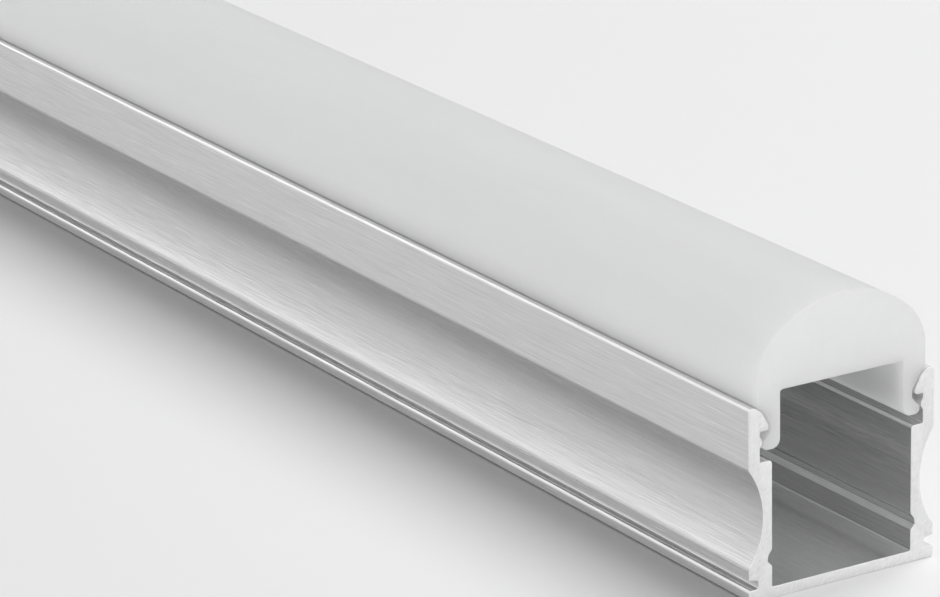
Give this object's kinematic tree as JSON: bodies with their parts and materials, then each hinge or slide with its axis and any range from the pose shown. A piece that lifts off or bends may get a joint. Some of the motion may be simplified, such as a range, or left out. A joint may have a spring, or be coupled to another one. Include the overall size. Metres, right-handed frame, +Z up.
{
  "type": "LED strip aluminium profile with clip-in frosted cover",
  "caption": "Deep surface-mounted aluminium channel for an LED strip, with hollowed sides, clip grooves and a clip-in frosted dome cover.",
  "frame": {"origin": "middle of the underside, halfway along the length", "axes": "+X along the length, +Y across, +Z up out of the open side towards the cover"},
  "size_m": [0.3, 0.017, 0.023],
  "materials": {
    "aluminium": "satin anodised, with fine lines along the length and plain saw-cut ends",
    "frosted_plastic": "frosted, milky white and slightly translucent"
  },
  "bodies": {
    "profile": {"channel_profile": "aluminium"},
    "cover": {"frosted_cover": "frosted_plastic"}
  },
  "joints": [
    {"name": "cover_slide", "type": "slide", "parent": "profile", "child": "cover", "axis": [1, 0, 0], "range_m": [-0.28, 0.28]}
  ]
}
